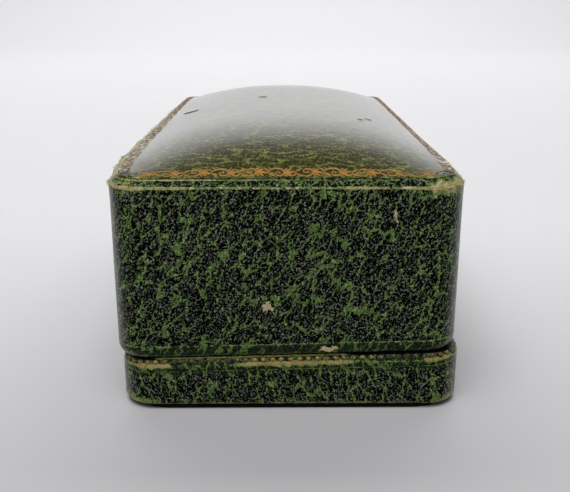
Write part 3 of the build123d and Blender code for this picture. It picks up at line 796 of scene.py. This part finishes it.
# One scroll and its leaf, in millimetres along and across the band: (along, across, width) for each stroke.
CURL = [(-0.75, -0.30, 0.10), (-0.25, 0.22, 0.22), (0.45, 0.56, 0.27), (1.15, 0.52, 0.28), (1.62, 0.14, 0.26),
        (1.50, -0.34, 0.24), (1.05, -0.54, 0.24), (0.62, -0.38, 0.22), (0.55, -0.08, 0.20), (0.84, 0.08, 0.18),
        (1.10, -0.08, 0.16), (1.00, -0.22, 0.16)]
LEAVES = [
    [(1.60, -0.05, 0.10), (1.78, 0.32, 0.30), (2.00, 0.66, 0.08)],
    [(1.62, -0.10, 0.14), (2.10, 0.22, 0.40), (2.52, 0.56, 0.08)],
    [(1.62, -0.12, 0.18), (2.28, -0.04, 0.46), (2.98, 0.14, 0.10)],
    [(1.62, -0.14, 0.16), (2.16, -0.34, 0.38), (2.62, -0.58, 0.08)],
    [(1.50, -0.30, 0.10), (1.72, -0.50, 0.26), (2.06, -0.68, 0.08)],
    [(-0.45, -0.10, 0.12), (0.00, -0.30, 0.34), (0.42, -0.58, 0.10)],
    [(-0.30, 0.15, 0.10), (-0.62, 0.42, 0.28), (-0.98, 0.60, 0.08)],
    [(0.05, 0.38, 0.10), (-0.12, 0.60, 0.22), (-0.40, 0.72, 0.08)],
]


def stroke_points(vertices, worn, path, start, turned, weight):
    """Adds three points across each point of a stroke, the middle one raised, and how worn each is."""
    for i, (a, b, width) in enumerate(path):
        before, after = path[max(0, i - 1)], path[min(len(path) - 1, i + 1)]
        run = Vector((after[0] - before[0], after[1] - before[1])).normalized()
        for side, lift in ((-0.5, -0.012), (0, 0.03), (0.5, -0.012)):
            along = start + (a - side * width * weight * run.y) * MM
            inward = BAND_MIDDLE + turned * (BAND_SPREAD * b + side * width * weight * run.x) * MM
            x, y = border_point(along, max(0.12 * MM, inward))
            on_side = 0.58 if abs(y) > HALF_DEPTH - 4 * MM else 0.0
            worn.append(0.75 * crown_corner(x, y) + on_side + 0.25 * patchy(x, y, 0.3, 6))
            x, y, z = lifted(x, y, crown_z(x, y) + lift * MM)
            vertices.append((x, y + LID_Y, z))


def gilt_scrolls():
    """A running border of scrolls and leaves round the crown, each turned over from the last."""
    vertices, faces, worn = [], [], []
    count = 2 * round(BORDER_LENGTH / SCROLL / 2)
    for k in range(count):
        start = SCROLL_PHASE + k * BORDER_LENGTH / count
        turned = -1 if k % 2 else 1
        weight = 1.35 + 0.40 * RNG.random()
        for stroke in [CURL, *LEAVES]:
            if RNG.random() < 0.04:
                continue
            path = smooth_path([(a + RNG.uniform(-0.05, 0.05), b + RNG.uniform(-0.04, 0.04), width)
                                for a, b, width in stroke])
            first = len(vertices)
            stroke_points(vertices, worn, path, start, turned, weight)
            last = len(vertices) - 3
            stroke_faces = [(first, first + 1, first + 2), (last + 2, last + 1, last)]
            for q in range(first, last, 3):
                stroke_faces += [(q, q + 3, q + 4, q + 1), (q + 1, q + 4, q + 5, q + 2), (q + 2, q + 5, q + 3, q)]
            faces += [face if turned > 0 else face[::-1] for face in stroke_faces]
    mesh_object("gilt_scrolls", vertices, faces, "lid", BORDER_GILT, wear=worn)


def dome(vertices, faces, centre, along, across, up, sizes, sides=10, rings=3):
    """Adds a low rounded bump: sizes are its half length, half width and height."""
    first = len(vertices)
    long, wide, tall = sizes
    for ring in range(rings):
        angle = math.pi / 2 * ring / rings
        for k in range(sides):
            turn = 2 * math.pi * k / sides
            vertices.append(centre + along * (long * math.cos(turn) * math.cos(angle))
                            + across * (wide * math.sin(turn) * math.cos(angle)) + up * (tall * math.sin(angle)))
    top = len(vertices)
    vertices.append(centre + up * tall)
    last = top - sides
    faces += tube(first, sides, rings) + [(last + k, last + (k + 1) % sides, top) for k in range(sides)]


BEAD_SPACING, BEAD_HALF_LENGTHS, BEAD_HALF_WIDTH = 1.16 * MM, (0.36, 0.44), 0.27 * MM
BEAD_HEIGHT, BEAD_RUBBED_OFF, BEAD_SUNK = 0.23, 0.17, 0.03 * MM
BEAD_INSET, BEAD_BELOW = 0.27 * MM, 0.60 * MM    # a bead's place in from the wall and below the seam
BEADLESS = (1 * MM, 23.4 * MM)                   # no beads this near the back, this near the hinge's middle


def rim_beads():
    """A row of small gilt beads pressed into the bevel of the base's rim, some rubbed almost flat."""
    vertices, faces, worn = [], [], []
    points, perimeter = stations(0.1 * MM)
    travelled = [p[4] for p in points]
    count = round(perimeter / BEAD_SPACING)
    for k in range(count):
        x, y, nx, ny, _ = points[min(bisect.bisect(travelled, k * perimeter / count), len(points) - 1)]
        along = Vector((-ny, nx, 0))
        slope = Vector((-nx * RIM_IN, -ny * RIM_IN, RIM_DOWN)).normalized()
        up = along.cross(slope).normalized()
        rubbed = max(patchy(x, y, 0.13, 7, layer=7) * 0.7, worn_places(x, y, BEADS_WORN, edge=2),
                     0.9 * corner_share(x, y))
        height = (BEAD_HEIGHT - BEAD_RUBBED_OFF * rubbed) * MM * RNG.uniform(0.8, 1.1)
        if HALF_DEPTH - y < BEADLESS[0] and abs(x) < BEADLESS[1]:
            continue
        on_wall = Vector((x, y, seam_z(y) - HALF_GAP - BEAD_BELOW))
        centre = on_wall - Vector((nx, ny, 0)) * BEAD_INSET - up * BEAD_SUNK
        before = len(vertices)
        sizes = (RNG.uniform(*BEAD_HALF_LENGTHS) * MM, BEAD_HALF_WIDTH, height)
        dome(vertices, faces, centre, along, slope, up, sizes)
        worn += [0.85 * rubbed] * (len(vertices) - before)
    mesh_object("rim_beads", vertices, faces, "base", BEAD_GILT, wear=worn)


# ------------------------------ wear and tear

def flake(vertices, faces, root, along, out, length, width, curl, steps=3):
    """Adds one torn fibre or flake: a tapering strip that leaves root along one way and curls outward."""
    first = len(vertices)
    for i in range(steps):
        t = i / steps
        centre = root + along * (length * t) + out * (curl * t * t)
        half = out.cross(along).normalized() * (width / 2 * (1 - 0.6 * t))
        vertices.extend((centre - half, centre + half, centre + out * min(0.05 * MM, width / 3)))
    vertices.append(root + along * length + out * curl)
    last, tip = first + 3 * (steps - 1), len(vertices) - 1
    faces.append((first + 2, first + 1, first))
    for q in range(first, last, 3):
        faces.extend(((q, q + 1, q + 4, q + 3), (q + 1, q + 2, q + 5, q + 4), (q + 2, q, q + 3, q + 5)))
    faces.extend(((last, last + 1, tip), (last + 1, last + 2, tip), (last + 2, last, tip)))


def frayed_edges():
    """Loose fibres and lifted flakes along the lid's worn ridge, thickest at the corners and on the long sides."""
    vertices, faces = [], []
    for x, y, nx, ny, _ in stations(0.25 * MM)[0]:
        corner = corner_share(x, y)
        near_end = x > HALF_LENGTH - CORNER
        torn = max(0.0, uneven(x, y, 0.35, 11))
        chance = 1.2 * corner + (0.05 if near_end else 0.15 + 0.6 * torn)
        while RNG.random() < chance:
            chance -= 0.45
            out = Vector((nx, ny, 0))
            round_edge = Vector((-ny, nx, 0)) * RNG.choice((-1, 1))
            lean = (out * RNG.uniform(0.1, 0.7) + Vector((0, 0, RNG.uniform(-0.5, 0.9)))).normalized()
            along = (round_edge + lean * RNG.uniform(0.1, 0.8 if corner else 0.35)).normalized()
            height = RNG.uniform(-0.25, 0.5) * MM
            inward = max(0.0, height) - 0.01 * MM
            root = Vector(lifted(x - nx * inward, y - ny * inward, RIDGE_Z + height)) + Vector((0, LID_Y, 0))
            length = RNG.uniform(0.25, 0.75 if corner or not near_end else 0.4) * MM
            width, curl = RNG.uniform(0.05, 0.22) * MM, RNG.uniform(0, 0.18) * MM
            flake(vertices, faces, root, along, out, length, width, curl)
    mesh_object("frayed_edges", vertices, faces, "lid", RAW)


def chip(vertices, faces, centre, right, up, width, height, lean=0.0, count=26):
    """Adds a small ragged bare patch just proud of the leatherette, with a curled rim."""
    first = len(vertices)
    normal = right.cross(up)
    vertices.append(centre + normal * 0.008 * MM)
    turns = [2 * math.pi * k / count for k in range(count)]
    layer = 1e3 * (centre.x + centre.y + centre.z)
    ragged = [1 + 0.75 * drift(2.2 * math.cos(t), 2.2 * math.sin(t), layer, seed=33) + RNG.uniform(-0.10, 0.10)
              for t in turns]
    for level, size in ((0.03, 0.7), (0.02, 1.0), (-0.02, 1.06)):
        for turn, reach in zip(turns, ragged):
            reach = size * max(0.25, reach)
            a, b = width / 2 * reach * math.cos(turn), height / 2 * reach * math.sin(turn)
            vertices.append(centre + right * (a + lean * b) + up * b + normal * level * MM)
    faces += [(first, first + 1 + k, first + 1 + (k + 1) % count) for k in range(count)]
    faces += [(a, d, c, b) for a, b, c, d in tube(first + 1, count, 3)]
    faces.append(tuple(range(first + 3 * count, first + 2 * count, -1)))


# Chips, in millimetres on each wall: (along the wall, height over the foot, width, height, lean).
END_CHIPS = [(-3.15, 13.80, 0.95, 1.25, 0.3), (-2.55, 13.65, 0.60, 0.95, -0.4), (12.75, 25.8, 0.42, 1.05, -0.1),
             (12.95, 25.0, 0.25, 0.6, -0.3), (4.7, 7.95, 1.6, 0.50, 0.1), (5.6, 8.20, 0.8, 0.45, 0.0),
             (4.25, 8.25, 0.6, 0.35, 0.2), (17.5, 28.0, 0.3, 0.35, 0.0)]
FRONT_CHIPS = [(-21.0, 17.4, 0.9, 1.1, 0.2), (30.5, 7.9, 2.2, 0.5, 0.0), (31.6, 8.1, 0.9, 0.4, 0.0),
               (6.0, 24.9, 0.3, 1.3, 0.2)]
BACK_CHIPS = [(-12.0, 20.2, 0.7, 0.9, -0.3), (33.0, 9.9, 1.5, 0.7, 0.1)]
BASE_CHIPS = [(-12.0, 3.2, 1.0, 0.5, 0.1), (36.0, 2.0, 1.3, 0.6, 0.0)]
# Scratches in the crown's varnish: (x, y, length, width, turn in degrees).
SCRATCHES = [(0.0, -15.9, 3.4, 0.75, 55), (-3.9, -3.7, 1.1, 0.45, 80), (18.3, 11.3, 0.8, 0.3, 95),
             (16.1, 12.8, 0.9, 0.3, 85)]


def chips():
    """Bare chips on the walls, and dark scratches in the crown."""
    up = Vector((0, 0, 1))
    lid, base, marks = ([], []), ([], []), ([], [])
    for target, wall, right, places in (
            (lid, lambda a: (HALF_LENGTH, a), Vector((0, 1, 0)), END_CHIPS),
            (lid, lambda a: (a, LID_Y - HALF_DEPTH), Vector((1, 0, 0)), FRONT_CHIPS),
            (lid, lambda a: (a, LID_Y + HALF_DEPTH), Vector((-1, 0, 0)), BACK_CHIPS),
            (base, lambda a: (a, -HALF_DEPTH), Vector((1, 0, 0)), BASE_CHIPS)):
        for along, z, width, height, lean in places:
            centre = Vector((*wall(along * MM), FOOT_Z + z * MM))
            chip(*target, centre, right, up, width * MM, height * MM, lean)
    for x, y, length, width, turn in SCRATCHES:
        x, y, step = x * MM, y * MM, 0.2 * MM
        slope_x = Vector((step, 0, crown_z(x + step, y) - crown_z(x, y))).normalized()
        slope_y = Vector((0, step, crown_z(x, y + step) - crown_z(x, y))).normalized()
        angle = math.radians(turn)
        right = (slope_x * math.cos(angle) + slope_y * math.sin(angle)).normalized()
        across = slope_x.cross(slope_y).cross(right).normalized()
        centre = Vector((x, y + LID_Y, crown_z(x, y) + 0.07 * MM))
        chip(*marks, centre, right, across, length * MM, width * MM)
    for name, shape, body, material, slot in (
            ("lid_chips", lid, "lid", RAW, "leatherette"), ("base_chips", base, "base", RAW, "leatherette"),
            ("crown_scratches", marks, "lid", SCRATCH_STAIN, "crown_leatherette")):
        mesh_object(name, *shape, body, material)


# ------------------------------ soft inside

SIM_SCALE = 20.0    # cloth is simulated this much larger, where its settings are steady
SIM_FRAMES = 20


def simulated(puff, held):
    """Where cloth simulation with pressure takes an object's points, with some of them held."""
    group = puff.vertex_groups.new(name="held")
    group.add([v.index for v in puff.data.vertices if held(v.co / SIM_SCALE)], 1.0, "REPLACE")
    cloth = puff.modifiers.new("cloth", "CLOTH")
    cloth.settings.vertex_group_mass = "held"
    cloth.settings.use_pressure = True
    cloth.settings.uniform_pressure_force = 4.0
    cloth.settings.effector_weights.gravity = 0.0
    cloth.settings.quality = 5
    cloth.point_cache.frame_start, cloth.point_cache.frame_end = 1, SIM_FRAMES
    for number in range(1, SIM_FRAMES + 1):
        bpy.context.scene.frame_set(number)
    result = puff.evaluated_get(bpy.context.evaluated_depsgraph_get()).data
    moved = [v.co.copy() for v in result.vertices]
    bpy.context.scene.frame_set(1)
    return moved


def swollen(name, shape, voxel, cap, held, material, body):
    """A stuffed piece: a closed shape, remeshed and blown up by cloth simulation with part of it held still.

    held(place) is whether a point stays where it is, and no point moves further than cap.
    """
    vertices, faces = shape
    large = [Vector(v) * SIM_SCALE for v in vertices]
    start = new_object(name + "_start", new_mesh(name + "_start", large, faces))
    remesh = start.modifiers.new("remesh", "REMESH")
    remesh.mode, remesh.voxel_size = "VOXEL", voxel * SIM_SCALE
    fine = bpy.data.meshes.new_from_object(start.evaluated_get(bpy.context.evaluated_depsgraph_get()))
    bpy.data.objects.remove(start)
    puff = new_object(name + "_puff", fine)
    places = [v.co.copy() for v in fine.vertices]
    final = []
    for before, after in zip(places, simulated(puff, held)):
        step = after - before
        if step.length > cap * SIM_SCALE:
            step *= cap * SIM_SCALE / step.length
        final.append((before + step) / SIM_SCALE)
    faces = [tuple(polygon.vertices) for polygon in fine.polygons]
    bpy.data.objects.remove(puff)
    piece = mesh_object(name, final, faces, body, material)
    rounder = piece.modifiers.new("rounding", "SUBSURF")
    rounder.levels = rounder.render_levels = 1
    return piece


def loft(rings):
    """Points and faces of a closed form through rings of equal numbers of points."""
    size, count = len(rings[0]), len(rings)
    ends = [tuple(range(size - 1, -1, -1)), tuple(range((count - 1) * size, count * size))]
    return [p for ring in rings for p in ring], tube(0, size, count) + ends


ROLL_TAPER = 2.2 * MM        # how far from its ends a roll draws in
ROLL_SWELL_ROOM = 0.3 * MM   # left at a roll's sides for its swelling


def ring_rolls():
    """The two stuffed velvet rolls, tight along their tops and tucked in round their feet and ends."""
    for node in ("ring_roll_front", "ring_roll_back"):
        low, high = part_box(node)
        rings, count, points = [], 28, 24
        for i in range(count + 1):
            x = low.x + (high.x - low.x) * (0.5 - 0.5 * math.cos(math.pi * i / count))
            end = max(0.0, (abs(x) - (high.x - low.x) / 2 + ROLL_TAPER) / ROLL_TAPER)
            tall = (high.z - low.z - 0.35 * MM) * (1 - 0.28 * end ** 2)
            half = ((high.y - low.y) / 2 - ROLL_SWELL_ROOM) * (1 - 0.16 * end ** 2)
            ring = []
            for k in range(points + 1):
                angle = math.pi * k / points
                across = math.copysign(abs(math.cos(angle)) ** 0.72, math.cos(angle))
                ring.append((x, (low.y + high.y) / 2 + half * across, low.z + tall * math.sin(angle) ** 0.62))
            rings.append(ring[::-1])
        piece = swollen("velvet_" + node[5:], loft(rings), voxel=0.85 * MM, cap=0.45 * MM,
                        held=lambda p, z=low.z: p.z < z + 0.5 * MM, material=VELVET, body="base")
        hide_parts(node)


def satin_pad():
    """The puffed satin panel under the lid's top, gathered at its edges and held flat against its card."""
    low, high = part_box("lid_satin_pad")
    centre, half_x, half_y = (low + high) / 2, (high.x - low.x) / 2, (high.y - low.y) / 2
    rings, points, squareness, drawn, tall = [], 96, 14, 9 * MM, 1.1 * MM
    for share, drop in ((1.0, 0.0), (1.0, 0.45), (0.985, 0.8), (0.9, 0.95), (0.5, 1.0)):
        ring = []
        for k in range(points):
            c, s = math.cos(2 * math.pi * k / points), math.sin(2 * math.pi * k / points)
            squared = (abs(c) ** squareness + abs(s) ** squareness) ** (-1 / squareness)
            ring.append((centre.x + (half_x - (1 - share) * drawn) * c * squared,
                         centre.y + (half_y - (1 - share) * drawn) * s * squared, high.z - drop * tall))
        rings.append(ring)
    piece = swollen("satin_pad", loft(rings), voxel=0.8 * MM, cap=1.1 * MM,
                    held=lambda p: p.z > high.z - 0.35 * MM, material=SATIN, body="lid")
    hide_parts("lid_satin_pad")


def satin_lining():
    """Satin gathered in upright folds round the inside of the lid's walls, cut away round the catch's keeper."""
    low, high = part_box("lid_lining")
    _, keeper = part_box("catch_keeper")
    room, spacing, radius, fold_length = 0.15 * MM, 0.33 * MM, 0.9 * MM, 3.1 * MM
    half_x, half_y = (high.x - low.x) / 2 - 0.27 * MM, (high.y - low.y) / 2 - 0.27 * MM
    run_x, run_y = 2 * (half_x - radius), 2 * (half_y - radius)
    around, perimeter = walk((-run_x / 2, -half_y), [run_x, 0, run_y, 0] * 2, radius, 1, spacing, spacing)
    rows = 26
    vertices, faces = [], []
    for x, y, nx, ny, s in around:
        foot = seam_z(y + LID_Y) + HALF_GAP + 2.35 * MM
        for share in [k / (rows - 1) for k in range(rows)]:
            gather = math.sin(math.pi * min(1.0, share * 1.15 + 0.08)) ** 0.5 if share < 0.99 else 0.35
            wander = 2.2 * drift(s / MM, share * 2, 0, scale=0.22, seed=12)
            pleat = math.sin(2 * math.pi * s / fold_length + wander + 0.8 * share)
            depth = (0.20 * pleat * gather + 0.04 * drift(s / MM, share * 9, 1, scale=0.6, seed=13)) * MM
            vertices.append((x + nx * depth, y + ny * depth + LID_Y, foot + (high.z - foot - 0.02 * MM) * share))
    for quad in grid(len(around), rows):
        spots = [vertices[v] for v in quad]
        at_keeper = (all(abs(spot[0]) < keeper.x + room + spacing for spot in spots) and spots[0][1] < 0
                     and spots[0][2] < keeper.z + room)
        if not at_keeper:
            faces.append(quad)
    piece = mesh_object("satin_lining", vertices, faces, "lid", SATIN)
    drop_loose(piece)
    thicken(piece, 0.12 * MM, offset=0)
    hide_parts("lid_lining")


for build in (lid_walls, base_walls, foot_shadow_sheet, crown, gilt_scrolls, rim_beads, frayed_edges, chips,
              ring_rolls, satin_pad, satin_lining):
    build()


# ------------------------------ camera and lights

def softbox(name, place, aim, size_x, size_y, power, mirrored=True):
    """A rectangular light, which shows in reflections if mirrored."""
    light = bpy.data.lights.new(name, "AREA")
    light.shape = "RECTANGLE"
    light.size, light.size_y, light.energy = size_x, size_y, power
    lamp = new_object(name, light)
    lamp.location = place
    lamp.rotation_euler = (Vector(aim) - Vector(place)).to_track_quat("-Z", "Y").to_euler()
    lamp.visible_glossy = mirrored


def studio():
    """A pale floor with painted shade that darkens it towards the camera, a soft light over and behind the box,
    and the photograph's viewpoint.
    """
    shader = Shader("pale_paper_painted_shade")
    # Painted shade: the floor's colour darkens from pale grey behind the box to a darker grey towards the camera.
    ahead = shader.vector("DOT_PRODUCT", shader.place, (1, 0, 0))
    tone = shader.add(shader.ramp(ahead, -60.0, 90.0), shader.times(shader.noise(0.02, 3.0), 0.1))
    grey = shader.mix(tone, (0.80, 0.795, 0.81), (0.585, 0.575, 0.595))
    paper = shader.finish(grey, 0.7, Specular_IOR_Level=0.1)
    back, bend, half_width = -0.75, 0.35, 1.8       # the floor curves up behind the box
    run = [(1.6, 0.0), (0.3, 0.0), (back, 0.0)]
    for angle in [math.radians(90 * i / 12) for i in range(1, 13)]:
        run.append((back - bend * math.sin(angle), bend * (1 - math.cos(angle))))
    run.append((back - bend, 1.6))
    vertices = [(x, side, z) for x, z in run for side in (-half_width, half_width)]
    faces = [(2 * i, 2 * i + 1, 2 * i + 3, 2 * i + 2) for i in range(len(run) - 1)]
    new_object("floor", new_mesh("floor", vertices, faces, paper))

    world = bpy.data.worlds.new("studio")
    bpy.context.scene.world = world
    world.use_nodes = True
    background = world.node_tree.nodes["Background"]
    background.inputs["Color"].default_value = (0.96, 0.96, 1.0, 1)
    background.inputs["Strength"].default_value = 0.15
    softbox("key", (0.28, -0.08, 0.72), (0.0, 0, 0), 0.50, 0.50, 3.6)
    softbox("backdrop", (-0.60, 0, 0.80), (-0.75, 0, 0), 1.2, 0.6, 6.8, mirrored=False)

    # The photograph's viewpoint, fitted to the box's edges: its place from the ridge of the +X end, in
    # millimetres, and how far it looks down and to the side, in degrees.
    out, aside, up, look_down, look_aside = 94.2, -0.98, 21.4, 16.92, 0.46
    camera = bpy.data.cameras.new("camera")
    camera.sensor_width, camera.lens, camera.clip_start = 36.0, 50.53, 0.005
    eye = new_object("camera", camera)
    eye.location = (HALF_LENGTH + out * MM, LID_Y + aside * MM, RIDGE_Z + up * MM)
    eye.rotation_euler = (math.radians(90 - look_down), 0, math.radians(90 - look_aside))
    bpy.context.scene.camera = eye
    bpy.context.scene.view_settings.view_transform = "Standard"


studio()
